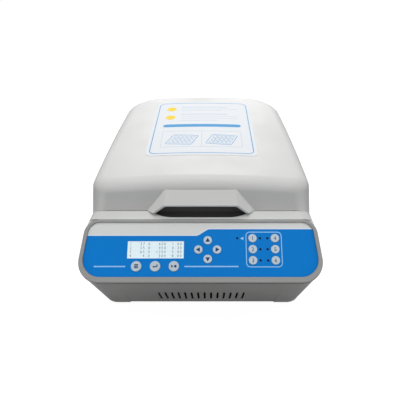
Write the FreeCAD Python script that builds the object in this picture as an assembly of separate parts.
import FreeCAD, Part
import math
import os

"""Benchtop thermal mixer for four microplates, as an assembly of separate pieces.

Frame: millimetres, +Z up, front faces -Y, origin under the middle of the machine on the bench.
The casing stands on four feet. Its sloping fascia carries the display and the keys. The chamber
behind it holds a platform that an eccentric crank drives round a small circle, while four idler
cranks keep it level. The lid hinges at the back.
"""

V = FreeCAD.Vector

# ---------------------------------------------------------------- casing
REAR_ROOM = 87.74             # behind the chamber, for the hinges, the supply and the fan
REAR_FITTINGS = 3.0           # how far the fan guard and the inlet stand out at the back
FOOT_HEIGHT = 3.0
SIDE_ROOM = 13.6              # chamber to the casing's side, where it is widest
SIDE_BOW_RADIUS = 3800.0      # the sides close in very slightly towards the back
FRONT_CORNER_RADIUS = 20.0    # the parting line climbs by the same round the front corners
REAR_CORNER_RADIUS = 50.0
WALL = 3.0
CHIN_SETBACK = 81.5           # the undercut below the fascia, measured at the bottom edge
CHIN_CORNER_RADIUS = 21.0
CHIN_RELIEF = 1.6             # the chin's middle lies behind its two corner legs at the bottom
CHIN_RELIEF_TOP = 78.0
CHIN_LEG_WIDTH = 41.3
PARTING_HEIGHT = 158.0        # top of the casing at the sides and the back
LID_SETBACK = 72.5            # lid's front face behind the fascia's lower lip
REAR_LEDGE_DROP = 4.5
REAR_LEDGE_DEPTH = 20.0
BRIDGE_DEPTH = 26.0           # raised bar under the lid's front wall
BRIDGE_END_GAP = 8.3          # bar's end inside the lid's round corner

# ---------------------------------------------------------------- vent slots
VENT_COUNT = 14
VENT_SPREAD = 124.0           # first slot to last
VENT_WIDTH = 3.0
VENT_LOW = 23.5
VENT_HIGH = 61.5

# ---------------------------------------------------------------- fascia and control panel
PANEL_LEAN = 45.0             # degrees back from upright
DECK_DROP = 6.9               # deck's fall from the lid to the fascia
PANEL_LENGTH = 74.2           # up the slope
PANEL_OVERHANG = 3.9          # panel's sharp lower corners beyond the casing's side
PANEL_TAPER = 8.6            # each side's lean from the foot to the head
PANEL_FOOT_RADIUS = 24.0
PANEL_HEAD_RADIUS = 16.0
PANEL_THICK = 2.0
PANEL_PLAY = 0.2
RIM_FOOT = 8.3                # rim's width below, beside and above the panel
RIM_SIDE = 5.7
RIM_HEAD = 4.3
RIM_PROUD = 2.0
RIM_SEAT = 5.0                # rim's foot below the panel's face
RIM_ROUND = 2.4
RIM_LEDGE = 4.0               # step that the panel lies on
SHOULDER_DEPTH = 26.0         # casing's flare behind the rim
SHOULDER_TAPER = 7.0

# ---------------------------------------------------------------- display
LCD_X = -60.5
LCD_V = 36.4
LCD_WIDTH = 76.0
LCD_HEIGHT = 23.5
LENS_PLAY = 0.15
LENS_SINK = 0.3
MODULE_WIDTH = 98.0
MODULE_HEIGHT = 36.0
MODULE_THICK = 7.0
MODULE_LIFT = 5.0             # module's middle above the window's middle

# ---------------------------------------------------------------- keys
BIG_KEY_RADIUS = 6.9
SMALL_KEY_RADIUS = 5.7
KEY_PLAY = 0.25
KEY_GAP = 0.05                # flange behind the panel's back
KEY_PROUD = 1.0
KEY_FLANGE = 1.2
KEY_FLANGE_THICK = 1.0
KEY_STEM_RADIUS = 2.0
KEY_TRAVEL = 0.8
KEY_EDGE = 0.4
FUNCTION_KEY_X = -85.5
FUNCTION_KEY_PITCH = 25.0
FUNCTION_KEY_V = 14.3
CURSOR_X = 9.5
CURSOR_V = 36.6
CURSOR_REACH = 12.6
PRESET_X = 70.0
PRESET_PITCH_X = 30.3
PRESET_V = 22.1
PRESET_PITCH_V = 15.0
LED_RADIUS = 1.5
LED_INSET = 10.2              # from a preset key to its lamp
STATUS_LED_X = 49.4
LED_DOME = 0.2
LED_PLAY = 0.1

# ---------------------------------------------------------------- control board
BOARD_DEPTH = 14.4            # board's face below the panel's face
BOARD_THICK = 1.6
BOARD_MARGIN = 22.0           # board's end inside the panel's head
BOARD_LOW = 4.0
BOARD_HIGH = 68.0
SWITCH_SIDE = 6.0
SWITCH_HEIGHT = 4.0
SWITCH_BUTTON_RADIUS = 1.7
SWITCH_GAP = 0.1
POST_RADIUS = 3.0
POST_INSET = 4.0
POST_MIDDLE_X = 35.0

# ---------------------------------------------------------------- chamber and platform
PLATE_LONG = 127.76           # microplate footprint
PLATE_SHORT = 85.48
NEST_PLAY = 0.45              # each side
NEST_DEPTH = 5.0
NEST_MIDDLE_RIB = 8.0
NEST_OUTER_RIB = 5.0
PLATFORM_DROP = 1.0           # platform's top below the casing's
PLATFORM_THICK = 14.0
PLATFORM_CORNER = 6.0
ORBIT = 1.5                   # crank's throw
CHAMBER_PLAY = 3.5            # left between platform and wall at the end of each orbit
CHAMBER_CORNER = 10.0
TUB_WALL = 2.5
TUB_FLANGE = 2.4
TUB_FLANGE_WIDTH = 4.0
GASKET_WIDTH = 2.4
GASKET_HEIGHT = 2.5
GASKET_INSET = 0.6
CHAMBER_SETBACK = 10.0        # chamber's front wall behind the raised bar
CLAMP_WIDTH = 12.0
CLAMP_THICK = 0.8
CLAMP_FOOT = 3.6
CLAMP_RISE = 6.0
HEATER_THICK = 1.5
HEATER_MARGIN = 12.0
HEATER_HOLE_GAP = 5.0

# ---------------------------------------------------------------- drive
DRIVE_ROOM = 28.5             # chassis to the tub, for the counterweight
CHASSIS_THICK = 3.0
CHASSIS_SIDE_GAP = 15.3       # chassis to the inside of the casing's wall
CHASSIS_MARGIN = 10.0         # chassis beyond the outer idlers' housings
PILLAR_RADIUS = 6.0
CRANK_SHAFT_RADIUS = 6.0
CRANK_PIN_RADIUS = 4.0
CRANK_DISC_RADIUS = 14.0
CRANK_DISC_THICK = 3.0
IDLER_SHAFT_RADIUS = 4.0
IDLER_PIN_RADIUS = 3.0
IDLER_DISC_RADIUS = 8.0
IDLER_SPREAD_X = 96.0
IDLER_SPREAD_Y = 62.0
RUNNING_FIT = 0.05
PIN_CLEARANCE = 0.3           # idler pins are a little loose, so that the linkage can't bind
BEARING_HEIGHT = 7.0
CRANK_BEARING_RADIUS = 11.0
IDLER_BEARING_RADIUS = 8.0
HOUSING_WALL = 6.0
HOUSING_HEIGHT = 20.0
HOUSING_FLANGE = 3.0
HOUSING_FLANGE_WIDTH = 6.0
SHAFT_HOLE_GAP = 6.0          # shaft holes in the tub's floor
DISC_GAP = 3.0                # crank discs between the tub's floor and the platform
WEIGHT_RADIUS = 48.0
WEIGHT_THICK = 8.0
WEIGHT_GAP = 2.0
CRANK_PULLEY_RADIUS = 34.0
MOTOR_PULLEY_RADIUS = 11.0
PULLEY_HEIGHT = 12.0
PULLEY_FLANGE = 1.5
BELT_THICK = 1.4
BELT_GAP = 0.3
BELT_WIDTH = 8.0
MOTOR_OFFSET = 92.0           # motor's axis behind the crank's
MOTOR_RADIUS = 25.0
MOTOR_LENGTH = 50.0
MOTOR_SHAFT_RADIUS = 3.0
MOTOR_PLATE_THICK = 3.0
MOTOR_COLUMN_RADIUS = 4.0
MOTOR_GAP = 2.0

# ---------------------------------------------------------------- lid
LID_GAP = 0.8
LID_DRAFT = 5.0               # degrees
LID_RISE = 45.7               # crown's ridge over the front parting line
LID_SLOPE = 6.1               # degrees, ridge rising to the back
CROWN_RADIUS = 1500.0
LID_EDGE_RADIUS = 19.0
LID_CORNER_GROWTH = 16.0      # plan corners grow by this up to the lid's reference height
LID_REFERENCE_RISE = 110.0
CEILING_RISE = 27.0           # lid's ceiling over the casing's top
CEILING_THICK = 3.0
SKIRT_GAP = 0.3
LID_HEATER_THICK = 4.0
LID_HEATER_MARGIN = 8.0
LID_FOAM_THICK = 20.0
LID_BOSS_RADIUS = 4.0
LABEL_HALF_WIDTH = 84.0
LABEL_FRONT = 145.0
LABEL_LENGTH = 204.0
LABEL_CORNER = 9.0
LABEL_THICK = 0.4

# ---------------------------------------------------------------- handle scoop
GRIP_TOP_HALF = 49.0
GRIP_LIP_HALF = 50.5
GRIP_FOOT_HALF = 74.0
GRIP_RISE = 31.5              # grip's top edge above the front parting line
GRIP_LIP_RISE = 14.5
GRIP_REACH = 10.5             # lip in front of the lid's face
GRIP_WALL = 2.5
GRIP_CORNER = 7.0             # soft edge between the handle's front and its flanks
WELD = 1e-4                   # faces that meet this closely are joined after rounding
SCOOP_DEPTH = 18.0            # finger room behind the lid's face
SCOOP_FLOOR_DROP = 12.0
SCOOP_TIP_HALF = 66.0
SCOOP_FLOOR_HALF = 50.0
SCOOP_FRONT = 8.2             # front edge and tips of the deck's scoop before the lid's face
SCOOP_TIP_FRONT = 1.7
SCOOP_BOW = 60.0
SCOOP_LEAN = 1.2              # lean of the scoop's front wall, each way from its middle

# ---------------------------------------------------------------- hinge
HINGE_BARREL_RADIUS = 4.0
HINGE_PIN_RADIUS = 2.0
HINGE_RISE = 6.0              # axis above the casing's side parting
HINGE_INSET = 8.0             # axis in front of the casing's back
HINGE_SPREAD = 80.0
HINGE_ARM_WIDTH = 24.0
HINGE_EAR_WIDTH = 6.0
HINGE_SIDE_GAP = 0.3
HINGE_FOOT_THICK = 2.5
HINGE_PAD_THICK = 4.0
HINGE_ARM_LENGTH = 45.0
HINGE_NOTCH_GAP = 1.5
HINGE_SCREW_INSET = 10.0

# ---------------------------------------------------------------- back panel fittings
FAN_X = 66.0
FAN_HEIGHT = 58.0
FAN_SIDE = 60.0
FAN_THICK = 15.0
FAN_BORE = 28.0
FAN_HUB = 12.0
FAN_BLADES = 7
FAN_TIP_GAP = 1.0
FAN_STRUT = 3.0
FAN_BLADE = 1.2
FAN_PITCH = 35.0
GUARD_THICK = 2.0
GUARD_WIRE = 1.0
GUARD_RINGS = 4
INLET_X = -85.0
INLET_HEIGHT = 60.0
INLET_WIDTH = 27.0
INLET_TALL = 20.0
INLET_FLANGE_WIDTH = 48.0
INLET_FLANGE_TALL = 24.0
INLET_DEPTH = 22.0
INLET_WALL = 1.5
INLET_PIN_PITCH = 7.0
INLET_PIN_DROP = 2.0
INLET_PIN_THICK = 2.0
INLET_PIN_LENGTH = 14.0
SWITCH_X = -40.0
ROCKER_WIDTH = 12.0
ROCKER_TALL = 19.0
ROCKER_ANGLE = 8.0
ROCKER_PLAY = 0.8
ROCKER_SINK = 3.0
SWITCH_WALL = 1.2
SWITCH_FLANGE = 2.0
SWITCH_DEPTH = 12.0
TRUNNION_RADIUS = 1.2         # stubs that the rocker turns on, in the frame's side walls
TRUNNION_GAP = 0.1
SUPPLY_WIDTH = 62.0
SUPPLY_DEPTH = 98.0
SUPPLY_HEIGHT = 32.0
SUPPLY_POST = 5.0
SUPPLY_SIDE_GAP = 41.3        # board's edge to the inside of the casing's wall
SUPPLY_FORWARD = 22.0

# ---------------------------------------------------------------- bottom
BOTTOM_THICK = 2.0
BOTTOM_LIP = 14.0
BOTTOM_PLAY = 0.4
FOOT_RADIUS = 11.0
FOOT_SIDE_INSET = 44.3
FOOT_INSET = 32.0
SCREW_HEAD_RADIUS = 3.5
SCREW_HEAD = 1.6
SCREW_RADIUS = 1.5
SCREW_LENGTH = 10.0
BOSS_RADIUS = 5.0
BOSS_HEIGHT = 22.0
BOSS_PITCH = 80.0
BOSS_INSET = 6.0

# ---------------------------------------------------------------- derived places
lean = math.radians(PANEL_LEAN)
up_y = math.sin(lean)
up_z = math.cos(lean)
nest_long = PLATE_LONG + 2 * NEST_PLAY
nest_short = PLATE_SHORT + 2 * NEST_PLAY
platform_half_x = nest_long + NEST_MIDDLE_RIB / 2 + NEST_OUTER_RIB
platform_half_y = nest_short + NEST_MIDDLE_RIB / 2 + NEST_OUTER_RIB
chamber_half_x = platform_half_x + ORBIT + CHAMBER_PLAY
chamber_half_y = platform_half_y + ORBIT + CHAMBER_PLAY
case_half = chamber_half_x + SIDE_ROOM
depth = (LID_SETBACK + BRIDGE_DEPTH + CHAMBER_SETBACK + 2 * chamber_half_y + REAR_ROOM
         + REAR_FITTINGS)
front_y = -depth / 2
rear_y = depth / 2 - REAR_FITTINGS
floor_z = FOOT_HEIGHT
front_parting = PARTING_HEIGHT + FRONT_CORNER_RADIUS
panel_y = front_y + RIM_ROUND + (RIM_FOOT - RIM_ROUND) * up_y + (RIM_PROUD - RIM_ROUND) * up_z
panel_z = front_parting - DECK_DROP - (PANEL_LENGTH + RIM_HEAD) * up_z
panel_half_foot = case_half + PANEL_OVERHANG
panel_half_head = panel_half_foot - PANEL_TAPER
board_half = panel_half_head - BOARD_MARGIN
bridge_half = case_half - FRONT_CORNER_RADIUS - BRIDGE_END_GAP
chassis_half = case_half - WALL - CHASSIS_SIDE_GAP
supply_x = SUPPLY_SIDE_GAP + SUPPLY_WIDTH / 2 + WALL - case_half
lid_front_y = front_y + LID_SETBACK
bow_y = lid_front_y + FRONT_CORNER_RADIUS
bridge_back_y = lid_front_y + BRIDGE_DEPTH
ledge_z = PARTING_HEIGHT - REAR_LEDGE_DROP
ledge_y = rear_y - REAR_LEDGE_DEPTH

chamber_y = bridge_back_y + CHAMBER_SETBACK + chamber_half_y
platform_top = PARTING_HEIGHT - PLATFORM_DROP
platform_low = platform_top - PLATFORM_THICK
nest_floor = platform_top - NEST_DEPTH
tub_floor = platform_low - CRANK_DISC_THICK - 2 * DISC_GAP
chassis_top = tub_floor - TUB_WALL - DRIVE_ROOM
chassis_low = chassis_top - CHASSIS_THICK
idler_places = [(sx * IDLER_SPREAD_X, chamber_y + sy * IDLER_SPREAD_Y)
                for sx, sy in ((-1, -1), (1, -1), (1, 1), (-1, 1))]
idler_names = ("front_left", "front_right", "rear_right", "rear_left")
housing_top = chassis_top + HOUSING_FLANGE
housing_low = housing_top - HOUSING_HEIGHT
pulley_top = housing_low - WEIGHT_GAP
pulley_low = pulley_top - PULLEY_HEIGHT
belt_middle = (pulley_top + pulley_low) / 2
motor_y = chamber_y + MOTOR_OFFSET
hinge_y = rear_y - HINGE_INSET
hinge_z = PARTING_HEIGHT + HINGE_RISE
foot_places = [(sx * (case_half - FOOT_SIDE_INSET), y) for y in (front_y + CHIN_SETBACK + FOOT_INSET, rear_y - FOOT_INSET)
               for sx in (-1, 1)]

chassis_front = chamber_y - IDLER_SPREAD_Y - 2 * IDLER_BEARING_RADIUS - CHASSIS_MARGIN
chassis_back = motor_y + MOTOR_RADIUS + CHASSIS_MARGIN
crank_disc_low = tub_floor + DISC_GAP
pin_top = platform_low + BEARING_HEIGHT - RUNNING_FIT
motor_top = pulley_low - MOTOR_GAP - MOTOR_PLATE_THICK
switch_top = -BOARD_DEPTH + SWITCH_HEIGHT
button_top = switch_top + KEY_FLANGE_THICK
stem_end = button_top + SWITCH_GAP + KEY_TRAVEL
switch_half = ROCKER_WIDTH / 2 + ROCKER_PLAY + SWITCH_WALL
ceiling = PARTING_HEIGHT + CEILING_RISE
ceiling_top = ceiling + CEILING_THICK
lid_heater_half_x = platform_half_x - LID_HEATER_MARGIN
lid_heater_half_y = platform_half_y - LID_HEATER_MARGIN
bottom_half = case_half - WALL - BOTTOM_LIP
screw_places = [(sx * (bottom_half - BOSS_INSET), chamber_y + BOSS_RADIUS * 4 + k * BOSS_PITCH)
                for sx in (-1, 1) for k in (-1, 0, 1)]
liner_screw_x = (lid_heater_half_x + chamber_half_x + GASKET_INSET) / 2
liner_screw_places = [(sx * liner_screw_x, chamber_y + sy * lid_heater_half_y * 0.8)
                      for sx in (-1, 1) for sy in (-1, 1)]
hinge_screw_y = hinge_y - HINGE_ARM_LENGTH + HINGE_SCREW_INSET
hinge_screw_places = [(sx * HINGE_SPREAD, hinge_screw_y) for sx in (-1, 1)]
lid_screw_places = liner_screw_places + hinge_screw_places

PANEL_FRAME = FreeCAD.Placement(V(0, panel_y, panel_z), FreeCAD.Rotation(V(1, 0, 0), 90 - PANEL_LEAN))


# ---------------------------------------------------------------- helpers
def save(name, shape):
    """Write one named piece."""
    shape.exportStep("parts/" + name + ".step")


def box(x0, x1, y0, y1, z0, z1):
    """Plain block between two corners."""
    return Part.makeBox(x1 - x0, y1 - y0, z1 - z0, V(x0, y0, z0))


def disc(x, y, radius, z0, z1):
    """Upright cylinder."""
    return Part.makeCylinder(radius, z1 - z0, V(x, y, z0))


def ring(x, y, outer, inner, z0, z1):
    """Upright tube."""
    return disc(x, y, outer, z0, z1).cut(disc(x, y, inner, z0 - 1, z1 + 1))


def rounded_wire(points, radii, z=0.0):
    """Closed outline through sharp corners, each rounded with its own radius."""
    edges = []
    arcs = []
    count = len(points)
    for i, (point, radius) in enumerate(zip(points, radii)):
        corner = V(point[0], point[1], z)
        before = V(points[i - 1][0], points[i - 1][1], z)
        after = V(points[(i + 1) % count][0], points[(i + 1) % count][1], z)
        to_before = (before - corner).normalize()
        to_after = (after - corner).normalize()
        half = to_before.getAngle(to_after) / 2
        start = corner + to_before * (radius / math.tan(half))
        end = corner + to_after * (radius / math.tan(half))
        bisector = (to_before + to_after).normalize()
        middle = corner + bisector * (radius / math.sin(half) - radius)
        arcs.append((start, middle, end))
    for i, (start, middle, end) in enumerate(arcs):
        edges.append(Part.Arc(start, middle, end).toShape())
        following = arcs[(i + 1) % count][0]
        if (following - end).Length > 1e-6:
            edges.append(Part.makeLine(end, following))
    return Part.Wire(edges)


def prism(wire, height):
    """Solid standing on a flat outline, height along +Z."""
    return Part.Face(wire).extrude(V(0, 0, height))


def rounded_box(x0, x1, y0, y1, z0, z1, radius):
    """Block with rounded upright corners."""
    points = [(x0, y0), (x1, y0), (x1, y1), (x0, y1)]
    return prism(rounded_wire(points, [radius] * len(points), z0), z1 - z0)


def along_x(points, half_width):
    """Side profile, given as (y, z) points, pushed out to both sides."""
    wire = Part.makePolygon([V(-half_width, y, z) for y, z in points + points[:1]])
    return Part.Face(wire).extrude(V(2 * half_width, 0, 0))


def polyhedron(faces):
    """Closed solid from flat faces, each a list of corners."""
    shells = [Part.Face(Part.makePolygon(list(face) + [face[0]])) for face in faces]
    return Part.makeSolid(Part.makeShell(shells))


def on_panel(shape):
    """Move a shape from the panel's own frame (x, up the slope, outwards) to its place."""
    moved = shape.copy()
    moved.Placement = PANEL_FRAME.multiply(moved.Placement)
    return moved


def panel_point(x, v, n):
    """Point of the panel's own frame, in the part's frame."""
    return PANEL_FRAME.multVec(V(x, v, n))


def arc_about(centre, start, end):
    """Short arc from start to end about a centre."""
    towards = ((start - centre).normalize() + (end - centre).normalize()).normalize()
    middle = centre + towards * (start - centre).Length
    return Part.Arc(start, middle, end).toShape()


def mirror_x(point):
    """The same point on the other side of the machine."""
    return V(-point.x, point.y, point.z)


def footprint(inset, front, front_radius, rear_radius, z):
    """Casing's outline seen from above: bowed sides, straight front and back, round corners."""
    bow_centre = V(case_half - SIDE_BOW_RADIUS, bow_y, z)
    bow_radius = SIDE_BOW_RADIUS - inset

    def corner(radius, line_y, towards):
        """Corner circle tangent to a straight end and to the bowed side."""
        y = line_y + towards * radius
        x = bow_centre.x + math.sqrt((bow_radius - radius) ** 2 - (y - bow_y) ** 2)
        centre = V(x, y, z)
        side = bow_centre + (centre - bow_centre).normalize() * bow_radius
        return centre, side, V(x, line_y, z)

    front_centre, front_side, front_end = corner(front_radius, front + inset, 1)
    rear_centre, rear_side, rear_end = corner(rear_radius, rear_y - inset, -1)
    right = [arc_about(front_centre, front_end, front_side),
             arc_about(bow_centre, front_side, rear_side),
             arc_about(rear_centre, rear_side, rear_end)]
    left = [arc_about(mirror_x(rear_centre), mirror_x(rear_end), mirror_x(rear_side)),
            arc_about(mirror_x(bow_centre), mirror_x(rear_side), mirror_x(front_side)),
            arc_about(mirror_x(front_centre), mirror_x(front_side), mirror_x(front_end))]
    back = [Part.makeLine(rear_end, mirror_x(rear_end))]
    face = [Part.makeLine(mirror_x(front_end), front_end)]
    return Part.Wire(right + back + left + face)


# ---------------------------------------------------------------- casing
def rim_points(extra, reach=0):
    """Sharp corners of the rim's outline in the panel's frame, grown by extra and drawn out below."""
    slant = math.atan((panel_half_foot - panel_half_head) / PANEL_LENGTH)
    grow = (RIM_SIDE + extra) / math.cos(slant)
    low = -RIM_FOOT - extra - reach
    high = PANEL_LENGTH + RIM_HEAD + extra
    half_low = panel_half_foot - low * math.tan(slant) + grow
    half_high = panel_half_foot - high * math.tan(slant) + grow
    return [(-half_low, low), (half_low, low), (half_high, high), (-half_high, high)]


def rim_outline(extra, n, reach=0):
    """Rounded outline of the fascia's rim."""
    low = PANEL_FOOT_RADIUS + RIM_SIDE + extra
    high = PANEL_HEAD_RADIUS + RIM_SIDE + extra
    return rounded_wire(rim_points(extra, reach), [low, low, high, high], n)


def panel_outline(shrink, n):
    """Rounded outline of the control panel, drawn in by shrink."""
    slant = math.atan((panel_half_foot - panel_half_head) / PANEL_LENGTH)
    half_low = panel_half_foot - shrink / math.cos(slant) - shrink * math.tan(slant)
    half_high = panel_half_head - shrink / math.cos(slant) + shrink * math.tan(slant)
    points = [(-half_low, shrink), (half_low, shrink),
              (half_high, PANEL_LENGTH - shrink), (-half_high, PANEL_LENGTH - shrink)]
    low = PANEL_FOOT_RADIUS - shrink
    high = PANEL_HEAD_RADIUS - shrink
    return rounded_wire(points, [low, low, high, high], n)


def casing_profile(inset):
    """Side view of the casing: chin, fascia seat, deck, corner ramp, top and back ledge."""
    deck_front = panel_point(0, PANEL_LENGTH + RIM_HEAD, 0)
    seat_high = panel_point(0, PANEL_LENGTH + RIM_HEAD, -RIM_SEAT)
    seat_low = panel_point(0, -RIM_FOOT, -RIM_SEAT)
    points = [(front_y + CHIN_SETBACK, floor_z), (rear_y, floor_z), (rear_y, ledge_z),
              (ledge_y, ledge_z), (ledge_y, PARTING_HEIGHT),
              (bow_y, PARTING_HEIGHT), (lid_front_y, front_parting),
              (deck_front.y, deck_front.z), (seat_high.y, seat_high.z), (seat_low.y, seat_low.z)]
    wire = Part.makePolygon([V(0, y, z) for y, z in points + points[:1]])
    if inset:
        wire = wire.makeOffset2D(-inset, 2, False, False)
    return wire


def deck_envelope(inset):
    """Room under the deck, whose round ends run from the rim's corners to the lid's front corners."""
    half = case_half - inset
    top = front_parting - inset
    radius = FRONT_CORNER_RADIUS - inset
    points = [(-half, -top), (half, -top), (half, top), (-half, top)]
    section = rounded_wire(points, [radius] * len(points))
    section.Placement = FreeCAD.Placement(V(0, lid_front_y, 0), FreeCAD.Rotation(V(1, 0, 0), 90))
    at_rim = on_panel(rim_outline(-inset, -inset, case_half))
    return Part.makeLoft([at_rim, section], True, True).fuse(Part.Face(section).extrude(V(0, depth, 0)))


def chin_envelope(inset):
    """Room behind the chin: a round-cornered plan that moves forward as the chin rises."""
    half = case_half - inset
    foot_y = front_y + CHIN_SETBACK
    seat_low = panel_point(0, -RIM_FOOT, -RIM_SEAT)
    slope = V(0, seat_low.y - foot_y, seat_low.z - floor_z)
    normal_inset = inset * slope.Length / slope.z
    front = foot_y + normal_inset
    points = [(-half, front), (half, front), (half, front + depth), (-half, front + depth)]
    radius = CHIN_CORNER_RADIUS - inset
    section = rounded_wire(points, [radius] * len(points), floor_z)
    swept = Part.Face(section).extrude(slope * (front_parting / slope.z))
    return swept.fuse(box(-half, half, foot_y + 2 * CHIN_CORNER_RADIUS, rear_y, floor_z, front_parting))


def casing_block(inset):
    """Casing's solid body, drawn in by inset, with its rounded corners."""
    half = case_half - inset
    profile = Part.Face(casing_profile(inset)).extrude(V(2 * half, 0, 0))
    profile.translate(V(-half, 0, 0))
    outline = footprint(inset, lid_front_y, FRONT_CORNER_RADIUS - inset,
                        REAR_CORNER_RADIUS - inset, 0)
    plan = prism(outline, 2 * PARTING_HEIGHT)
    plan = plan.fuse(box(-half, half, front_y - WALL, bow_y, 0, 2 * PARTING_HEIGHT))
    return profile.common(plan).common(deck_envelope(inset)).common(chin_envelope(inset))


def shoulder():
    """Casing's flare behind the rim, from the rim's outline into the sides."""
    depth = RIM_SEAT + SHOULDER_DEPTH
    wide = on_panel(rim_outline(0, -RIM_SEAT))
    narrow = on_panel(rim_outline(-SHOULDER_TAPER, -depth))
    return Part.makeLoft([narrow, wide], True, True)


def lid_block(inset):
    """Lid's outer form, drawn in by inset: drafted sides, a crowned top and a large round edge."""
    draft = math.tan(math.radians(LID_DRAFT))
    front = lid_front_y - FRONT_CORNER_RADIUS * draft
    rise = LID_REFERENCE_RISE
    low = footprint(inset, front, FRONT_CORNER_RADIUS - inset, REAR_CORNER_RADIUS - inset,
                    PARTING_HEIGHT)
    high = footprint(inset + rise * draft, front, FRONT_CORNER_RADIUS + LID_CORNER_GROWTH - inset,
                     REAR_CORNER_RADIUS + LID_CORNER_GROWTH - inset, PARTING_HEIGHT + rise)
    sides = Part.makeLoft([low, high], True, True)
    block = sides.common(crown(inset))
    top = max(block.Faces, key=lambda face: face.CenterOfMass.z)
    return block.makeFillet(LID_EDGE_RADIUS - inset, top.Edges)


def crown(inset):
    """Large cylinder whose upper side is the lid's gently arched top."""
    slope = math.radians(LID_SLOPE)
    along = V(0, math.cos(slope), math.sin(slope))
    normal = V(0, -math.sin(slope), math.cos(slope))
    ridge = V(0, lid_front_y, front_parting + LID_RISE)
    start = ridge - normal * CROWN_RADIUS - along * depth
    cylinder = Part.makeCylinder(CROWN_RADIUS - inset, 3 * depth)
    seam_down = FreeCAD.Rotation(-normal, V(1, 0, 0), along, "ZXY")
    cylinder.Placement = FreeCAD.Placement(start, seam_down)
    return cylinder


def above_parting(gap):
    """Room over the casing's stepped top edge."""
    far = depth
    points = [(-far, front_parting + gap), (lid_front_y, front_parting + gap),
              (bow_y, PARTING_HEIGHT + gap), (far, PARTING_HEIGHT + gap), (far, far), (-far, far)]
    return along_x(points, far)


def grip_corners():
    """Right-hand corners of the handle's wedge: top and foot on the lid's face, lip and tip before it."""
    draft = math.tan(math.radians(LID_DRAFT))
    top = V(GRIP_TOP_HALF, lid_front_y + GRIP_RISE * draft, front_parting + GRIP_RISE)
    lip = V(GRIP_LIP_HALF, lid_front_y - GRIP_REACH, front_parting + GRIP_LIP_RISE)
    foot = V(GRIP_FOOT_HALF, lid_front_y + LID_GAP * draft, front_parting + LID_GAP)
    flank = (lip - top).cross(foot - top)
    tip = V(SCOOP_TIP_HALF, foot.y + flank.x / flank.y * (GRIP_FOOT_HALF - SCOOP_TIP_HALF), foot.z)
    return top, lip, foot, tip


def soften(shape, start, end, radius):
    """Round the edge that runs from start to end, and the one on the other side of the machine."""
    wanted = [(start + end) * 0.5, mirror_x((start + end) * 0.5)]
    edges = [edge for edge in shape.Edges
             if min((edge.CenterOfMass - middle).Length for middle in wanted) < LID_GAP]
    rounded = shape.makeFillet(radius, edges)
    rounded.fix(WELD, WELD, WELD)
    return rounded


def grip():
    """Handle's outer form: a wedge with soft flanks that stands out from the lid's front face."""
    top, lip, foot, tip = grip_corners()
    deeper = V(0, 2 * WALL, 0)
    top_back, foot_back = top + deeper, foot + deeper
    bands = [[top, lip], [lip, tip], [tip, foot], [top, top_back], [foot, foot_back],
             [top_back, foot_back]]
    faces = [[mirror_x(a), a, b, mirror_x(b)] for a, b in bands]
    for turn in (V, mirror_x):
        faces.append([turn(top), turn(lip), turn(tip), turn(foot)])
        faces.append([turn(top), turn(foot), turn(foot_back), turn(top_back)])
    return soften(polyhedron(faces), top, lip, GRIP_CORNER)


def scoop_room(grow):
    """Finger room under the handle, in the lid; grown, it is the pocket's outside."""
    lip, tip_y = grip_corners()[1], grip_corners()[3].y
    back_y = lid_front_y + SCOOP_DEPTH + grow
    low = front_parting - WALL
    mouth = V(GRIP_LIP_HALF - GRIP_WALL + grow, lip.y - LID_GAP, lip.z - GRIP_WALL + grow)
    tip = V(SCOOP_TIP_HALF + grow, tip_y - LID_GAP, low)
    ceiling_corner = V(SCOOP_FLOOR_HALF + grow, back_y, lip.z + GRIP_WALL + grow)
    corner = V(SCOOP_TIP_HALF - GRIP_WALL + grow, back_y, low)
    faces = [[mirror_x(a), a, b, mirror_x(b)]
             for a, b in ((mouth, tip), (mouth, ceiling_corner), (ceiling_corner, corner), (corner, tip))]
    for turn in (V, mirror_x):
        faces.append([turn(mouth), turn(tip), turn(ceiling_corner)])
        faces.append([turn(tip), turn(corner), turn(ceiling_corner)])
    return soften(polyhedron(faces), mouth, ceiling_corner, GRIP_CORNER)


def pocket_outline(grow, forward, z):
    """Plan of the casing's half of the finger room: a bowed front edge and pointed ends."""
    front = lid_front_y - SCOOP_FRONT - forward - grow
    tip = lid_front_y - SCOOP_TIP_FRONT - forward
    back = lid_front_y + SCOOP_DEPTH + grow
    wide = SCOOP_TIP_HALF + grow
    points = [(-SCOOP_FLOOR_HALF, front), (SCOOP_FLOOR_HALF, front), (wide, tip),
              (wide - GRIP_WALL, back), (GRIP_WALL - wide, back), (-wide, tip)]
    return rounded_wire(points, [SCOOP_BOW, SCOOP_BOW] + [GRIP_WALL] * 4, z)


def deck_pocket(grow):
    """The casing's half of the finger room, scooped out of the deck."""
    floor = pocket_outline(grow, -SCOOP_LEAN, front_parting - SCOOP_FLOOR_DROP - grow)
    mouth = pocket_outline(grow, SCOOP_LEAN, front_parting + LID_GAP)
    return Part.makeLoft([floor, mouth], True, True)


def bottom_opening(shrink, z0, z1):
    """Opening in the casing's underside, which the bottom plate fills."""
    half = case_half - WALL - BOTTOM_LIP - shrink
    front = front_y + CHIN_SETBACK + BOTTOM_LIP + shrink
    back = rear_y - WALL - BOTTOM_LIP / 2 - shrink
    return rounded_box(-half, half, front, back, z0, z1, REAR_CORNER_RADIUS / 2 - shrink)


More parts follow.
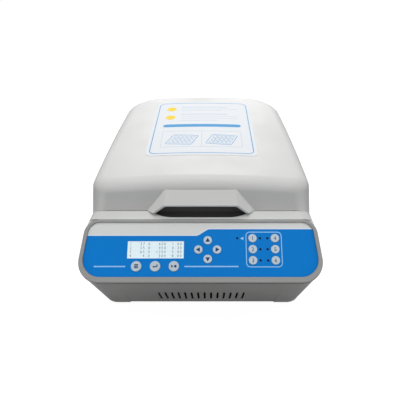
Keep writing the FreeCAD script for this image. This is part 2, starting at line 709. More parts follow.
def chin_relief():
    """Wedge taken off the chin between its two corner legs."""
    foot_y = front_y + CHIN_SETBACK
    seat_low = panel_point(0, -RIM_FOOT, -RIM_SEAT)
    rise = (CHIN_RELIEF_TOP - floor_z) / (seat_low.z - floor_z)
    top_y = foot_y + (seat_low.y - foot_y) * rise
    points = [(foot_y - depth, floor_z - WALL), (foot_y + CHIN_RELIEF, floor_z - WALL),
              (foot_y + CHIN_RELIEF, floor_z), (top_y, CHIN_RELIEF_TOP), (top_y - depth, CHIN_RELIEF_TOP)]
    return along_x(points, case_half - CHIN_LEG_WIDTH)


def vent_slots():
    """Row of upright slots through the chin."""
    pitch = VENT_SPREAD / (VENT_COUNT - 1)
    slots = []
    for i in range(VENT_COUNT):
        x = -VENT_SPREAD / 2 + i * pitch
        slots.append(box(x - VENT_WIDTH / 2, x + VENT_WIDTH / 2, front_y, lid_front_y + WALL,
                         VENT_LOW, VENT_HIGH))
    return Part.makeCompound(slots)


def screw_bosses():
    """Posts inside the casing's walls that take the bottom plate's screws."""
    posts = []
    for x, y in screw_places:
        side = math.copysign(1, x)
        post = disc(x, y, BOSS_RADIUS, floor_z + BOTTOM_THICK, floor_z + BOSS_HEIGHT)
        reach = sorted((x, side * case_half))
        rib = box(reach[0], reach[1], y - WALL / 2, y + WALL / 2, floor_z + WALL, floor_z + BOSS_HEIGHT)
        hole = disc(x, y, SCREW_RADIUS, floor_z, floor_z + SCREW_LENGTH)
        posts.append(post.fuse(rib).cut(hole))
    return Part.makeCompound(posts).common(casing_block(WALL / 2))


def along_y(x, z, radius, y0, y1):
    """Cylinder lying along Y."""
    return Part.makeCylinder(radius, y1 - y0, V(x, y0, z), V(0, 1, 0))


def across_x(y, z, radius, x0, x1):
    """Cylinder lying along X."""
    return Part.makeCylinder(radius, x1 - x0, V(x0, y, z), V(1, 0, 0))


def make_casing():
    """Moulded casing: hollow body, fascia seat, raised bar, finger pocket and openings."""
    shell = casing_block(0).fuse(shoulder()).removeSplitter().cut(casing_block(WALL))
    bridge = box(-bridge_half, bridge_half, lid_front_y - WALL, bridge_back_y,
                 PARTING_HEIGHT - WALL, front_parting)
    bar = bridge.fuse(deck_pocket(WALL)).common(bar_room())
    shell = shell.fuse(bar).cut(deck_pocket(0))
    shell = shell.cut(chin_relief()).cut(vent_slots())
    shell = shell.cut(on_panel(prism(panel_outline(RIM_LEDGE, -RIM_SEAT - 2 * WALL), 4 * WALL)))
    shell = shell.cut(rounded_box(-chamber_half_x, chamber_half_x, chamber_y - chamber_half_y,
                                  chamber_y + chamber_half_y, PARTING_HEIGHT - 2 * WALL,
                                  PARTING_HEIGHT + WALL, CHAMBER_CORNER))
    shell = shell.cut(bottom_opening(0, 0, floor_z + 2 * WALL)).fuse(screw_bosses())
    wall = (rear_y - 2 * WALL, rear_y + WALL)
    shell = shell.cut(along_y(FAN_X, FAN_HEIGHT, FAN_BORE, *wall))
    shell = shell.cut(box(INLET_X - INLET_WIDTH / 2, INLET_X + INLET_WIDTH / 2, *wall,
                          INLET_HEIGHT - INLET_TALL / 2, INLET_HEIGHT + INLET_TALL / 2))
    shell = shell.cut(switch_body(0, *wall))
    return shell


def bar_room():
    """Where the raised bar and the pocket's walls may stand: under the deck and its top."""
    deck_front = panel_point(0, PANEL_LENGTH + RIM_HEAD, 0)
    low = front_parting - SCOOP_FLOOR_DROP - 2 * WALL
    seat = panel_point(0, PANEL_LENGTH + RIM_HEAD, -RIM_SEAT)
    points = [(seat.y, low), (bridge_back_y, low), (bridge_back_y, front_parting),
              (lid_front_y, front_parting), (deck_front.y, deck_front.z), (seat.y, seat.z)]
    return along_x(points, bridge_half)


# ---------------------------------------------------------------- fascia
def make_rim():
    """Rim around the control panel, with a round outer edge and a step under the panel."""
    block = prism(rim_outline(0, -RIM_SEAT), RIM_SEAT + RIM_PROUD)
    face = max(block.Faces, key=lambda f: f.CenterOfMass.z)
    block = block.makeFillet(RIM_ROUND, face.Edges)
    block = block.cut(prism(panel_outline(0, -PANEL_THICK), PANEL_THICK + 2 * RIM_PROUD))
    return on_panel(block.cut(prism(panel_outline(RIM_LEDGE, -2 * RIM_SEAT), 3 * RIM_SEAT)))


def key_places():
    """Every key as (name, x, v, radius) in the panel's frame."""
    places = []
    for i, name in enumerate(("key_menu", "key_enter", "key_start")):
        places.append((name, FUNCTION_KEY_X + i * FUNCTION_KEY_PITCH, FUNCTION_KEY_V, BIG_KEY_RADIUS))
    for name, dx, dv in (("key_up", 0, 1), ("key_left", -1, 0), ("key_right", 1, 0), ("key_down", 0, -1)):
        places.append((name, CURSOR_X + dx * CURSOR_REACH, CURSOR_V + dv * CURSOR_REACH, SMALL_KEY_RADIUS))
    for number in range(6):
        column, row = divmod(number, 3)
        places.append(("key_preset_%d" % (number + 1), PRESET_X + column * PRESET_PITCH_X,
                       PRESET_V + (2 - row) * PRESET_PITCH_V, SMALL_KEY_RADIUS))
    return places


def lamp_places():
    """Every status lamp as (x, v) in the panel's frame: one per preset key and a timer lamp."""
    places = [(STATUS_LED_X, PRESET_V + 2 * PRESET_PITCH_V)]
    for row in range(3):
        v = PRESET_V + row * PRESET_PITCH_V
        places.append((PRESET_X + LED_INSET, v))
        places.append((PRESET_X + PRESET_PITCH_X - LED_INSET, v))
    return places


def window(play, n0, n1):
    """Display opening in the panel's frame."""
    half_x = LCD_WIDTH / 2 - play
    half_v = LCD_HEIGHT / 2 - play
    return box(LCD_X - half_x, LCD_X + half_x, LCD_V - half_v, LCD_V + half_v, n0, n1)


def make_panel():
    """Control panel: plate with its display window, key and lamp holes, and posts for the board."""
    plate = prism(panel_outline(PANEL_PLAY, -PANEL_THICK), PANEL_THICK)
    holes = [window(0, -2 * PANEL_THICK, PANEL_THICK)]
    for name, x, v, radius in key_places():
        holes.append(disc(x, v, radius + KEY_PLAY, -2 * PANEL_THICK, PANEL_THICK))
    for x, v in lamp_places():
        holes.append(disc(x, v, LED_RADIUS + LED_PLAY, -2 * PANEL_THICK, PANEL_THICK))
    posts = []
    for x in (-board_half + POST_INSET, POST_MIDDLE_X, board_half - POST_INSET):
        for v in (BOARD_LOW + POST_INSET, BOARD_HIGH - POST_INSET):
            posts.append(disc(x, v, POST_RADIUS, -BOARD_DEPTH, -PANEL_THICK / 2))
    return on_panel(plate.cut(Part.makeCompound(holes)).fuse(posts))


def make_key(x, v, radius):
    """Key cap with a soft edge, a flange behind the panel and a stem over its switch."""
    flange_top = -PANEL_THICK - KEY_GAP
    flange_low = flange_top - KEY_FLANGE_THICK
    cap = disc(x, v, radius, flange_low, KEY_PROUD - KEY_EDGE)
    crown_edge = Part.makeCone(radius, radius - KEY_EDGE, KEY_EDGE, V(x, v, KEY_PROUD - KEY_EDGE))
    cap = cap.fuse(crown_edge)
    flange = disc(x, v, radius + KEY_FLANGE, flange_low, flange_top)
    stem = disc(x, v, KEY_STEM_RADIUS, stem_end, flange_low)
    return on_panel(cap.fuse(flange).fuse(stem))


def make_control_board():
    """Control board with a tact switch under each key."""
    board = box(-board_half, board_half, BOARD_LOW, BOARD_HIGH, -BOARD_DEPTH - BOARD_THICK, -BOARD_DEPTH)
    half = SWITCH_SIDE / 2
    for name, x, v, radius in key_places():
        board = board.fuse(box(x - half, x + half, v - half, v + half, -BOARD_DEPTH, switch_top))
        board = board.fuse(disc(x, v, SWITCH_BUTTON_RADIUS, switch_top, button_top))
    return on_panel(board)


def make_lamps():
    """Status lamps standing on the control board and showing through the panel."""
    return Part.makeCompound([on_panel(disc(x, v, LED_RADIUS, -BOARD_DEPTH, LED_DOME))
                              for x, v in lamp_places()])


def build_fascia():
    """Fascia rim, control panel, display, control board and keys."""
    save("fascia_rim", make_rim())
    save("control_panel", make_panel())
    save("lcd_window", on_panel(window(LENS_PLAY, -PANEL_THICK, -LENS_SINK)))
    module_v = LCD_V + MODULE_LIFT
    save("lcd_module", on_panel(box(LCD_X - MODULE_WIDTH / 2, LCD_X + MODULE_WIDTH / 2,
                                    module_v - MODULE_HEIGHT / 2, module_v + MODULE_HEIGHT / 2,
                                    -PANEL_THICK - MODULE_THICK, -PANEL_THICK)))
    save("control_board", make_control_board())
    save("status_lamps", make_lamps())
    for name, x, v, radius in key_places():
        save(name, make_key(x, v, radius))


# ---------------------------------------------------------------- chamber and platform
def chamber_ring(inner, outer, z0, z1):
    """Rectangular ring round the chamber, between two distances outside its wall."""
    def block(grow, low, high):
        return rounded_box(-chamber_half_x - grow, chamber_half_x + grow,
                           chamber_y - chamber_half_y - grow, chamber_y + chamber_half_y + grow,
                           low, high, CHAMBER_CORNER + grow)
    return block(outer, z0, z1).cut(block(inner, z0 - 1, z1 + 1))


def make_tub():
    """Chamber's tub: walls, a flange under the casing's top and a floor with shaft holes."""
    low = tub_floor - TUB_WALL
    top = PARTING_HEIGHT - WALL
    walls = chamber_ring(0, TUB_WALL, low, top)
    flange = chamber_ring(0, TUB_WALL + TUB_FLANGE_WIDTH, top - TUB_FLANGE, top)
    floor = rounded_box(-chamber_half_x, chamber_half_x, chamber_y - chamber_half_y,
                        chamber_y + chamber_half_y, low, tub_floor, CHAMBER_CORNER)
    tub = walls.fuse(floor).fuse(flange).common(casing_block(WALL + PANEL_PLAY))
    holes = [disc(0, chamber_y, CRANK_SHAFT_RADIUS + SHAFT_HOLE_GAP, low - 1, tub_floor + 1)]
    for x, y in idler_places:
        holes.append(disc(x, y, IDLER_SHAFT_RADIUS + SHAFT_HOLE_GAP, low - 1, tub_floor + 1))
    return tub.cut(Part.makeCompound(holes)).removeSplitter()


def nest_centres():
    """Middles of the four microplate nests, on the platform at rest."""
    dx = (nest_long + NEST_MIDDLE_RIB) / 2
    dy = (nest_short + NEST_MIDDLE_RIB) / 2
    return [(ORBIT + sx * dx, chamber_y + sy * dy) for sx in (-1, 1) for sy in (-1, 1)]


def platform_pins():
    """Where the crank's and the idlers' pins stand at rest, as (x, y, pin, bearing radius)."""
    pins = [(ORBIT, chamber_y, CRANK_PIN_RADIUS + RUNNING_FIT, CRANK_BEARING_RADIUS)]
    for x, y in idler_places:
        pins.append((x + ORBIT, y, IDLER_PIN_RADIUS + PIN_CLEARANCE, IDLER_BEARING_RADIUS))
    return pins


def platform_block(z0, z1):
    """Platform's outline between two heights, at rest."""
    return rounded_box(ORBIT - platform_half_x, ORBIT + platform_half_x, chamber_y - platform_half_y,
                       chamber_y + platform_half_y, z0, z1, PLATFORM_CORNER)


def make_platform():
    """Heated aluminium slab that the plates stand on, with bearing seats underneath."""
    seats = [disc(x, y, bearing, platform_low - BEARING_HEIGHT, platform_low + BEARING_HEIGHT)
             for x, y, pin, bearing in platform_pins()]
    return platform_block(platform_low, nest_floor).cut(Part.makeCompound(seats))


def rib_spans(half):
    """Where the ribs lie across the platform, measured from its middle: edge, middle and edge."""
    inner = half - NEST_OUTER_RIB
    middle = NEST_MIDDLE_RIB / 2
    return (-half, -inner), (-middle, middle), (inner, half)


def make_nest_rails():
    """Bars round the four nests: three long ones from side to side and six short ones between."""
    rows = rib_spans(platform_half_y)
    block = platform_block(nest_floor, platform_top)
    bars = [block.common(box(-depth, depth, chamber_y + y0, chamber_y + y1, nest_floor, platform_top))
            for y0, y1 in rows]
    for x0, x1 in rib_spans(platform_half_x):
        for front, back in zip(rows, rows[1:]):
            bars.append(box(ORBIT + x0, ORBIT + x1, chamber_y + front[1], chamber_y + back[0],
                            nest_floor, platform_top))
    return Part.makeCompound(bars)


def make_platform_bearings():
    """Bearings pressed into the platform's underside."""
    return Part.makeCompound([ring(x, y, bearing, pin, platform_low, platform_low + BEARING_HEIGHT)
                              for x, y, pin, bearing in platform_pins()])


def make_platform_heater():
    """Heater mat under the platform, with holes round the bearings."""
    half_x = platform_half_x - HEATER_MARGIN
    half_y = platform_half_y - HEATER_MARGIN
    mat = rounded_box(ORBIT - half_x, ORBIT + half_x, chamber_y - half_y, chamber_y + half_y,
                      platform_low - HEATER_THICK, platform_low, PLATFORM_CORNER)
    holes = [disc(x, y, bearing + HEATER_HOLE_GAP, platform_low - 2 * HEATER_THICK, platform_top)
             for x, y, pin, bearing in platform_pins()]
    return mat.cut(Part.makeCompound(holes))


def make_plate_clamps():
    """Spring clips at the outer end of each nest."""
    clips = []
    half = CLAMP_WIDTH / 2
    for x, y in nest_centres():
        side = math.copysign(1, x - ORBIT)
        edge = x + side * nest_long / 2
        foot = sorted((edge, edge + side * CLAMP_FOOT))
        leaf = sorted((edge, edge + side * CLAMP_THICK))
        clips.append(box(foot[0], foot[1], y - half, y + half, platform_top, platform_top + CLAMP_THICK)
                     .fuse(box(leaf[0], leaf[1], y - half, y + half, platform_top, platform_top + CLAMP_RISE)))
    return Part.makeCompound(clips)


def build_chamber():
    """Tub, gasket, platform with its nest rails, heater, bearings and clips."""
    save("chamber_tub", make_tub())
    save("chamber_gasket", chamber_ring(GASKET_INSET, GASKET_INSET + GASKET_WIDTH,
                                        PARTING_HEIGHT, PARTING_HEIGHT + GASKET_HEIGHT))
    save("platform", make_platform())
    save("nest_rails", make_nest_rails())
    save("platform_bearings", make_platform_bearings())
    save("platform_heater", make_platform_heater())
    save("plate_clamps", make_plate_clamps())


# ---------------------------------------------------------------- drive
def bearing_housing(x, y, radius):
    """Flanged bearing housing let into the chassis plate."""
    outer = radius + HOUSING_WALL
    body = disc(x, y, outer, housing_low, housing_top)
    flange = disc(x, y, outer + HOUSING_FLANGE_WIDTH, chassis_top, housing_top)
    return body.fuse(flange).cut(disc(x, y, radius, housing_low - 1, housing_top + 1))


def bearing_pair(x, y, outer, inner):
    """Two ball bearings, one at each end of a housing."""
    return [ring(x, y, outer, inner + RUNNING_FIT, housing_low, housing_low + BEARING_HEIGHT),
            ring(x, y, outer, inner + RUNNING_FIT, housing_top - BEARING_HEIGHT, housing_top)]


def eccentric(x, y, shaft, pin, disc_radius, low):
    """Shaft with a disc on top and a pin that stands off centre by the orbit's radius."""
    turned = disc(x, y, shaft, low, crank_disc_low)
    turned = turned.fuse(disc(x, y, disc_radius, crank_disc_low, crank_disc_low + CRANK_DISC_THICK))
    return turned.fuse(disc(x + ORBIT, y, pin, crank_disc_low + CRANK_DISC_THICK, pin_top))


def pulley(x, y, radius, bore):
    """Flanged pulley on a shaft."""
    flange = radius + BELT_GAP + BELT_THICK + PULLEY_FLANGE
    wheel = disc(x, y, radius, pulley_low, pulley_top)
    wheel = wheel.fuse(disc(x, y, flange, pulley_low, pulley_low + PULLEY_FLANGE))
    wheel = wheel.fuse(disc(x, y, flange, pulley_top - PULLEY_FLANGE, pulley_top))
    return wheel.cut(disc(x, y, bore, pulley_low - 1, pulley_top + 1))


def loop_face(clearance):
    """Flat outline of a loop round both pulleys, a clearance outside them."""
    big = CRANK_PULLEY_RADIUS + clearance
    small = MOTOR_PULLEY_RADIUS + clearance
    z = belt_middle - BELT_WIDTH / 2
    cosine = (big - small) / MOTOR_OFFSET
    sine = math.sqrt(1 - cosine ** 2)
    crank = V(0, chamber_y, z)
    motor = V(0, motor_y, z)
    right = V(sine, cosine, 0)
    left = V(-sine, cosine, 0)
    edges = [Part.Arc(crank + left * big, crank - V(0, big, 0), crank + right * big).toShape(),
             Part.makeLine(crank + right * big, motor + right * small),
             Part.Arc(motor + right * small, motor + V(0, small, 0), motor + left * small).toShape(),
             Part.makeLine(motor + left * small, crank + left * big)]
    return Part.Face(Part.Wire(edges))


def make_belt():
    """Drive belt round the motor's and the crank's pulleys."""
    outside = loop_face(BELT_GAP + BELT_THICK).extrude(V(0, 0, BELT_WIDTH))
    return outside.cut(loop_face(BELT_GAP).extrude(V(0, 0, BELT_WIDTH)))


def make_counterweight():
    """Half disc clamped to the crank shaft opposite its pin."""
    low = housing_top + WEIGHT_GAP
    half = disc(0, chamber_y, WEIGHT_RADIUS, low, low + WEIGHT_THICK)
    half = half.cut(box(0, WEIGHT_RADIUS + 1, chamber_y - WEIGHT_RADIUS - 1,
                        chamber_y + WEIGHT_RADIUS + 1, low - 1, low + WEIGHT_THICK + 1))
    hub = disc(0, chamber_y, CRANK_DISC_RADIUS, low, low + WEIGHT_THICK)
    return half.fuse(hub).cut(disc(0, chamber_y, CRANK_SHAFT_RADIUS, low - 1, low + WEIGHT_THICK + 1))


def make_chassis():
    """Steel plate on four legs that carries the drive, with holes for the bearing housings."""
    plate = rounded_box(-chassis_half, chassis_half, chassis_front, chassis_back,
                        chassis_low, chassis_top, PILLAR_RADIUS)
    holes = [disc(0, chamber_y, CRANK_BEARING_RADIUS + HOUSING_WALL, 0, front_parting)]
    for x, y in idler_places:
        holes.append(disc(x, y, IDLER_BEARING_RADIUS + HOUSING_WALL, 0, front_parting))
    legs = [disc(sx * (chassis_half - 2 * PILLAR_RADIUS), y, PILLAR_RADIUS,
                 floor_z + BOTTOM_THICK, chassis_top)
            for sx in (-1, 1) for y in (chassis_front + 2 * PILLAR_RADIUS, chassis_back - 2 * PILLAR_RADIUS)]
    return plate.cut(Part.makeCompound(holes)).fuse(legs)


def make_motor_bracket():
    """Plate slung under the chassis on four columns, which holds the motor."""
    half = MOTOR_RADIUS + 2 * MOTOR_COLUMN_RADIUS
    plate = rounded_box(-half - MOTOR_COLUMN_RADIUS, half + MOTOR_COLUMN_RADIUS, motor_y - half,
                        motor_y + half, motor_top, motor_top + MOTOR_PLATE_THICK, MOTOR_COLUMN_RADIUS)
    for sx in (-1, 1):
        for sy in (-1, 1):
            plate = plate.fuse(disc(sx * half, motor_y + sy * (half - MOTOR_COLUMN_RADIUS),
                                    MOTOR_COLUMN_RADIUS, motor_top, chassis_low))
    return plate.cut(disc(0, motor_y, 2 * MOTOR_SHAFT_RADIUS, motor_top - 1, motor_top + 2 * MOTOR_PLATE_THICK))


def build_drive():
    """Chassis, motor, belt drive, crank, counterweight and idlers."""
    save("drive_chassis", make_chassis())
    housings = [bearing_housing(0, chamber_y, CRANK_BEARING_RADIUS)]
    rings = bearing_pair(0, chamber_y, CRANK_BEARING_RADIUS, CRANK_SHAFT_RADIUS)
    for x, y in idler_places:
        housings.append(bearing_housing(x, y, IDLER_BEARING_RADIUS))
        rings += bearing_pair(x, y, IDLER_BEARING_RADIUS, IDLER_SHAFT_RADIUS)
    save("bearing_housings", Part.makeCompound(housings))
    save("shaft_bearings", Part.makeCompound(rings))
    save("crank_shaft", eccentric(0, chamber_y, CRANK_SHAFT_RADIUS, CRANK_PIN_RADIUS,
                                  CRANK_DISC_RADIUS, pulley_low - WEIGHT_GAP))
    save("counterweight", make_counterweight())
    save("crank_pulley", pulley(0, chamber_y, CRANK_PULLEY_RADIUS, CRANK_SHAFT_RADIUS))
    for name, (x, y) in zip(idler_names, idler_places):
        save("idler_crank_" + name, eccentric(x, y, IDLER_SHAFT_RADIUS, IDLER_PIN_RADIUS,
                                              IDLER_DISC_RADIUS, housing_low - WEIGHT_GAP))
    save("drive_belt", make_belt())
    save("drive_motor", disc(0, motor_y, MOTOR_RADIUS, motor_top - MOTOR_LENGTH, motor_top))
    save("motor_bracket", make_motor_bracket())
    wheel = pulley(0, motor_y, MOTOR_PULLEY_RADIUS, MOTOR_SHAFT_RADIUS)
    save("motor_pulley", wheel.fuse(disc(0, motor_y, MOTOR_SHAFT_RADIUS, motor_top, pulley_top + WEIGHT_GAP)))


# ---------------------------------------------------------------- electrics and back panel
def circuit_board(x, y, parts):
    """Board on four short posts with its tall components, as one assembly."""
    half_x = SUPPLY_WIDTH / 2
    half_y = SUPPLY_DEPTH / 2
    low = floor_z + BOTTOM_THICK
    face = low + SUPPLY_POST + BOARD_THICK
    board = box(x - half_x, x + half_x, y - half_y, y + half_y, low + SUPPLY_POST, face)
    for sx in (-1, 1):
        for sy in (-1, 1):
            board = board.fuse(disc(x + sx * (half_x - POST_INSET), y + sy * (half_y - POST_INSET),
                                    POST_RADIUS, low, low + SUPPLY_POST))
    for kind, dx, dy, wide, deep, tall in parts:
        px, py = x + dx * half_x, y + dy * half_y
        if kind == "can":
            board = board.fuse(disc(px, py, wide / 2, face, face + tall))
        else:
            board = board.fuse(box(px - wide / 2, px + wide / 2, py - deep / 2, py + deep / 2,
                                   face, face + tall))
    return board


def make_fan_frame():
    """Square fan frame with a round bore, a hub plate and three struts."""
    half = FAN_SIDE / 2
    front = rear_y - WALL - FAN_THICK
    back = rear_y - WALL
    frame = box(FAN_X - half, FAN_X + half, front, back, FAN_HEIGHT - half, FAN_HEIGHT + half)
    frame = frame.cut(along_y(FAN_X, FAN_HEIGHT, FAN_BORE, front - 1, back + 1))
    hub = along_y(FAN_X, FAN_HEIGHT, FAN_HUB, front, front + FAN_STRUT)
    for i in range(3):
        strut = box(FAN_X - FAN_STRUT / 2, FAN_X + FAN_STRUT / 2, front, front + FAN_STRUT,
                    FAN_HEIGHT + FAN_HUB - 1, FAN_HEIGHT + FAN_BORE + 1)
        strut.rotate(V(FAN_X, front, FAN_HEIGHT), V(0, 1, 0), i * 120)
        hub = hub.fuse(strut)
    return frame.fuse(hub)


def make_fan_rotor():
    """Fan wheel: hub and pitched blades."""
    front = rear_y - WALL - FAN_THICK + FAN_STRUT + FAN_TIP_GAP
    back = rear_y - WALL - FAN_TIP_GAP
    rotor = along_y(FAN_X, FAN_HEIGHT, FAN_HUB, front, back)
    length = back - front
    for i in range(FAN_BLADES):
        blade = box(-FAN_BLADE / 2, FAN_BLADE / 2, -length / 2, length / 2,
                    FAN_HUB - FAN_BLADE, FAN_BORE - FAN_TIP_GAP)
        blade.rotate(V(0, 0, 0), V(0, 0, 1), FAN_PITCH)
        blade.rotate(V(0, 0, 0), V(0, 1, 0), i * 360 / FAN_BLADES)
        blade.translate(V(FAN_X, (front + back) / 2, FAN_HEIGHT))
        rotor = rotor.fuse(blade)
    room = along_y(FAN_X, FAN_HEIGHT, FAN_BORE - FAN_TIP_GAP, front, back)
    return rotor.common(room)


def make_fan_guard():
    """Finger guard over the fan: rings on a cross."""
    back = rear_y + GUARD_THICK
    guard = box(FAN_X - FAN_BORE - GUARD_WIRE, FAN_X + FAN_BORE + GUARD_WIRE, rear_y, back,
                FAN_HEIGHT - GUARD_WIRE, FAN_HEIGHT + GUARD_WIRE)
    upright = box(FAN_X - GUARD_WIRE, FAN_X + GUARD_WIRE, rear_y, back,
                  FAN_HEIGHT - FAN_BORE - GUARD_WIRE, FAN_HEIGHT + FAN_BORE + GUARD_WIRE)
    guard = guard.fuse(upright)
    for i in range(1, GUARD_RINGS + 1):
        radius = (FAN_BORE + GUARD_WIRE) * i / GUARD_RINGS
        hoop = along_y(FAN_X, FAN_HEIGHT, radius + GUARD_WIRE, rear_y, back)
        guard = guard.fuse(hoop.cut(along_y(FAN_X, FAN_HEIGHT, radius - GUARD_WIRE, rear_y - 1, back + 1)))
    return guard


def make_inlet():
    """Mains inlet: flange, body through the casing, the socket's cavity and its three pins."""
    body = box(INLET_X - INLET_WIDTH / 2, INLET_X + INLET_WIDTH / 2, rear_y - INLET_DEPTH, rear_y,
               INLET_HEIGHT - INLET_TALL / 2, INLET_HEIGHT + INLET_TALL / 2)
    flange = box(INLET_X - INLET_FLANGE_WIDTH / 2, INLET_X + INLET_FLANGE_WIDTH / 2, rear_y,
                 rear_y + REAR_FITTINGS, INLET_HEIGHT - INLET_FLANGE_TALL / 2,
                 INLET_HEIGHT + INLET_FLANGE_TALL / 2)
    cavity = box(INLET_X - INLET_WIDTH / 2 + INLET_WALL, INLET_X + INLET_WIDTH / 2 - INLET_WALL,
                 rear_y - INLET_DEPTH + INLET_WALL, rear_y + 2 * REAR_FITTINGS,
                 INLET_HEIGHT - INLET_TALL / 2 + INLET_WALL, INLET_HEIGHT + INLET_TALL / 2 - INLET_WALL)
    root = rear_y - INLET_DEPTH + INLET_WALL
    pins = []
    for dx, dz in ((-INLET_PIN_PITCH, -INLET_PIN_DROP), (0, INLET_PIN_DROP), (INLET_PIN_PITCH, -INLET_PIN_DROP)):
        pins.append(box(INLET_X + dx - INLET_PIN_THICK / 2, INLET_X + dx + INLET_PIN_THICK / 2,
                        root - INLET_WALL / 2, root + INLET_PIN_LENGTH,
                        INLET_HEIGHT + dz - INLET_PIN_THICK, INLET_HEIGHT + dz + INLET_PIN_THICK))
    return body.fuse(flange).cut(cavity).fuse(pins)


def switch_body(shrink, y0, y1):
    """Room that the switch's body takes in the back wall."""
    half_x = switch_half - shrink
    half_z = ROCKER_TALL / 2 + ROCKER_PLAY + SWITCH_WALL - shrink
    return box(SWITCH_X - half_x, SWITCH_X + half_x, y0, y1, INLET_HEIGHT - half_z, INLET_HEIGHT + half_z)


def trunnion(radius, half):
    """Round bar on the rocker's axis."""
    return across_x(rear_y - ROCKER_SINK, INLET_HEIGHT, radius, SWITCH_X - half, SWITCH_X + half)


def make_switch_frame():
    """Power switch's frame: a flanged box with a bearing hole for the rocker in each side."""
    body = switch_body(0, rear_y - SWITCH_DEPTH, rear_y)
    flange = switch_body(-SWITCH_WALL, rear_y, rear_y + SWITCH_FLANGE)
    cavity = switch_body(SWITCH_WALL, rear_y - SWITCH_DEPTH + SWITCH_WALL, rear_y + REAR_FITTINGS)
    return body.fuse(flange).cut(cavity).cut(trunnion(TRUNNION_RADIUS + RUNNING_FIT, switch_half))


def make_rocker():
    """Rocker on its two stubs, with a hollowed face, stored in its off position."""
    half = ROCKER_TALL / 2
    pivot_y = rear_y - ROCKER_SINK
    back = pivot_y - ROCKER_SINK
    face = rear_y + SWITCH_FLANGE
    points = [(back, -half / 2), (back, half / 2), (pivot_y, half), (face, half),
              (rear_y, 0), (face, -half), (pivot_y, -half)]
    wire = Part.makePolygon([V(-ROCKER_WIDTH / 2, y, z) for y, z in points + points[:1]])
    rocker = Part.Face(wire).extrude(V(ROCKER_WIDTH, 0, 0))
    rocker.rotate(V(0, pivot_y, 0), V(1, 0, 0), -ROCKER_ANGLE)
    rocker.translate(V(SWITCH_X, 0, INLET_HEIGHT))
    return rocker.fuse(trunnion(TRUNNION_RADIUS, switch_half - TRUNNION_GAP))


def build_electrics():
    """Power supply, driver board, fan, mains inlet and power switch."""
    tall = SUPPLY_HEIGHT
    save("power_supply", circuit_board(supply_x, motor_y - SUPPLY_FORWARD, [
        ("block", 0.1, -0.1, 32, 30, tall), ("can", -0.6, 0.6, 18, 18, tall - 4),
        ("can", 0.4, 0.65, 14, 14, tall - 10), ("block", -0.7, -0.2, 4, 50, tall - 6),
        ("block", 0.3, -0.75, 30, 12, tall / 2)]))
    save("fan_frame", make_fan_frame())
    save("fan_rotor", make_fan_rotor())
    save("fan_guard", make_fan_guard())
    save("mains_inlet", make_inlet())
    save("switch_frame", make_switch_frame())
    save("switch_rocker", make_rocker())


# ---------------------------------------------------------------- bottom
def make_bottom_plate():
    """Sheet metal bottom plate with screw holes."""
    plate = bottom_opening(BOTTOM_PLAY, floor_z, floor_z + BOTTOM_THICK)
    holes = [disc(x, y, SCREW_RADIUS, 0, floor_z + 2 * BOTTOM_THICK) for x, y in screw_places]
    return plate.cut(Part.makeCompound(holes))


def make_screws(places, head_z):
    """Screws driven upwards, each with its head under head_z."""
    return [disc(x, y, SCREW_HEAD_RADIUS, head_z - SCREW_HEAD, head_z)
            .fuse(disc(x, y, SCREW_RADIUS, head_z, head_z + SCREW_LENGTH)) for x, y in places]


def make_foot(x, y):
    """Rubber foot with a rounded lower edge."""
    foot = disc(x, y, FOOT_RADIUS, 0, floor_z)
    low = min(foot.Faces, key=lambda f: f.CenterOfMass.z)
    return foot.makeFillet(floor_z / 3, low.Edges)


def build_bottom():
    """Bottom plate, its screws and the feet."""
    save("bottom_plate", make_bottom_plate())
    save("bottom_screws", Part.makeCompound(make_screws(screw_places, floor_z)))
    save("rubber_feet", Part.makeCompound([make_foot(x, y) for x, y in foot_places]))


# ---------------------------------------------------------------- lid
def make_lid_shell():
    """Lid's outer shell with its handle, finger pocket, screw posts and hinge notches."""
    outer = lid_block(0).fuse(grip())
    inner = lid_block(WALL)
    shell = outer.cut(inner).fuse(scoop_room(GRIP_WALL).common(outer)).cut(scoop_room(0))
    posts = [disc(x, y, LID_BOSS_RADIUS, ceiling_top, front_parting + depth) for x, y in lid_screw_places]
    posts = Part.makeCompound(posts).common(lid_block(WALL / 2))
    holes = [disc(x, y, SCREW_RADIUS, PARTING_HEIGHT, ceiling + SCREW_LENGTH)
             for x, y in lid_screw_places]
    shell = shell.fuse(posts).cut(Part.makeCompound(holes)).common(above_parting(LID_GAP))
    bar_half = bridge_half + LID_GAP
    shell = shell.cut(box(-bar_half, bar_half, lid_front_y - WALL, bridge_back_y + LID_GAP,
                          PARTING_HEIGHT, front_parting + LID_GAP))
    half = HINGE_ARM_WIDTH / 2 + 2 * HINGE_SIDE_GAP + HINGE_EAR_WIDTH + HINGE_NOTCH_GAP
    for x in (-HINGE_SPREAD, HINGE_SPREAD):
        shell = shell.cut(box(x - half, x + half, hinge_y, rear_y + WALL, PARTING_HEIGHT,
                              hinge_z + HINGE_RISE))
    return shell


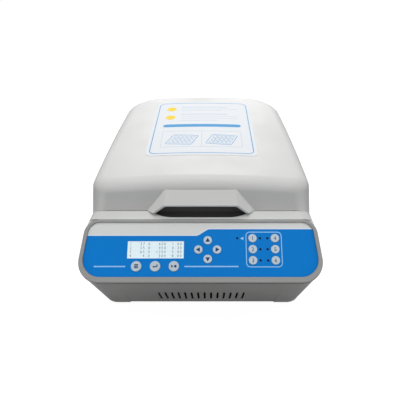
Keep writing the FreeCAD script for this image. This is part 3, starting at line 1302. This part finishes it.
def make_lid_liner():
    """Lid's inner moulding: a ceiling and a skirt that closes on the gasket."""
    draft = math.tan(math.radians(LID_DRAFT))
    inset = WALL + (ceiling_top - PARTING_HEIGHT) * draft + SKIRT_GAP
    skirt_front = chamber_y - chamber_half_y - GASKET_INSET - GASKET_WIDTH
    growth = LID_CORNER_GROWTH * (ceiling_top - PARTING_HEIGHT) / LID_REFERENCE_RISE
    front_radius = FRONT_CORNER_RADIUS + growth
    rear_radius = REAR_CORNER_RADIUS + growth
    plan = prism(footprint(inset, lid_front_y, front_radius, rear_radius, ceiling),
                 CEILING_THICK)
    roof = plan.common(box(-depth, depth, skirt_front, depth, PARTING_HEIGHT, 2 * depth))
    skirt = chamber_ring(GASKET_INSET, GASKET_INSET + GASKET_WIDTH,
                         PARTING_HEIGHT + GASKET_HEIGHT + SKIRT_GAP, ceiling)
    room = prism(footprint(inset - CEILING_THICK * draft, lid_front_y, front_radius, rear_radius,
                           PARTING_HEIGHT), depth)
    holes = [disc(x, y, SCREW_RADIUS, PARTING_HEIGHT, ceiling + depth) for x, y in lid_screw_places]
    return roof.fuse(skirt).common(room).cut(Part.makeCompound(holes))


def make_label():
    """Thin plate on the lid's crowned top."""
    outline = rounded_box(-LABEL_HALF_WIDTH, LABEL_HALF_WIDTH, front_y + LABEL_FRONT,
                          front_y + LABEL_FRONT + LABEL_LENGTH, PARTING_HEIGHT, PARTING_HEIGHT + depth,
                          LABEL_CORNER)
    return outline.common(crown(-LABEL_THICK)).cut(crown(0))


def hinge_arm(x):
    """Lid's hinge arm: a barrel on the pin and a cranked bar to the lid's ceiling."""
    half = HINGE_ARM_WIDTH / 2
    r = HINGE_BARREL_RADIUS
    pad = ceiling - HINGE_PAD_THICK
    points = [(hinge_y - r, hinge_z), (hinge_y, hinge_z + r), (hinge_y - 2 * r, ceiling),
              (hinge_y - HINGE_ARM_LENGTH, ceiling), (hinge_y - HINGE_ARM_LENGTH, pad),
              (hinge_y - 4 * r, pad)]
    bar = along_x(points, half)
    bar.translate(V(x, 0, 0))
    arm = bar.fuse(across_x(hinge_y, hinge_z, r, x - half, x + half))
    arm = arm.cut(across_x(hinge_y, hinge_z, HINGE_PIN_RADIUS + RUNNING_FIT, x - depth, x + depth))
    return arm.cut(disc(x, hinge_screw_y, SCREW_RADIUS, PARTING_HEIGHT, ceiling + 1))


def hinge_bracket(x):
    """Casing's hinge bracket: a foot on the back ledge and two ears."""
    inner = HINGE_ARM_WIDTH / 2 + HINGE_SIDE_GAP
    outer = inner + HINGE_EAR_WIDTH
    foot = box(x - outer, x + outer, ledge_y + HINGE_SIDE_GAP, hinge_y + HINGE_BARREL_RADIUS,
               ledge_z, ledge_z + HINGE_FOOT_THICK)
    for side in (-1, 1):
        x0, x1 = sorted((x + side * inner, x + side * outer))
        ear = box(x0, x1, hinge_y - HINGE_BARREL_RADIUS, hinge_y + HINGE_BARREL_RADIUS,
                  ledge_z, hinge_z)
        foot = foot.fuse(ear).fuse(across_x(hinge_y, hinge_z, HINGE_BARREL_RADIUS, x0, x1))
    return foot.cut(across_x(hinge_y, hinge_z, HINGE_PIN_RADIUS, x - outer - 1, x + outer + 1))


def build_lid():
    """Lid shell, liner, heater, insulation, label, screws and hinges."""
    save("lid_shell", make_lid_shell())
    save("lid_liner", make_lid_liner())
    save("lid_heater", rounded_box(-lid_heater_half_x, lid_heater_half_x,
                                   chamber_y - lid_heater_half_y, chamber_y + lid_heater_half_y,
                                   ceiling - LID_HEATER_THICK, ceiling, PLATFORM_CORNER))
    save("lid_insulation", rounded_box(-lid_heater_half_x, lid_heater_half_x,
                                       chamber_y - lid_heater_half_y, chamber_y + lid_heater_half_y,
                                       ceiling_top, ceiling_top + LID_FOAM_THICK, PLATFORM_CORNER))
    save("lid_label", make_label())
    screws = make_screws(liner_screw_places, ceiling)
    screws += make_screws(hinge_screw_places, ceiling - HINGE_PAD_THICK)
    save("lid_screws", Part.makeCompound(screws))
    for name, maker in (("hinge_arms", hinge_arm), ("hinge_brackets", hinge_bracket)):
        save(name, Part.makeCompound([maker(x) for x in (-HINGE_SPREAD, HINGE_SPREAD)]))
    reach = HINGE_ARM_WIDTH / 2 + HINGE_SIDE_GAP + HINGE_EAR_WIDTH
    save("hinge_pins", Part.makeCompound([across_x(hinge_y, hinge_z, HINGE_PIN_RADIUS, x - reach, x + reach)
                                          for x in (-HINGE_SPREAD, HINGE_SPREAD)]))


def main():
    """Build every piece and write it to its own file."""
    os.makedirs("parts", exist_ok=True)
    save("casing", make_casing())
    build_fascia()
    build_chamber()
    build_drive()
    build_electrics()
    build_bottom()
    build_lid()


if __name__ == "__main__":
    main()
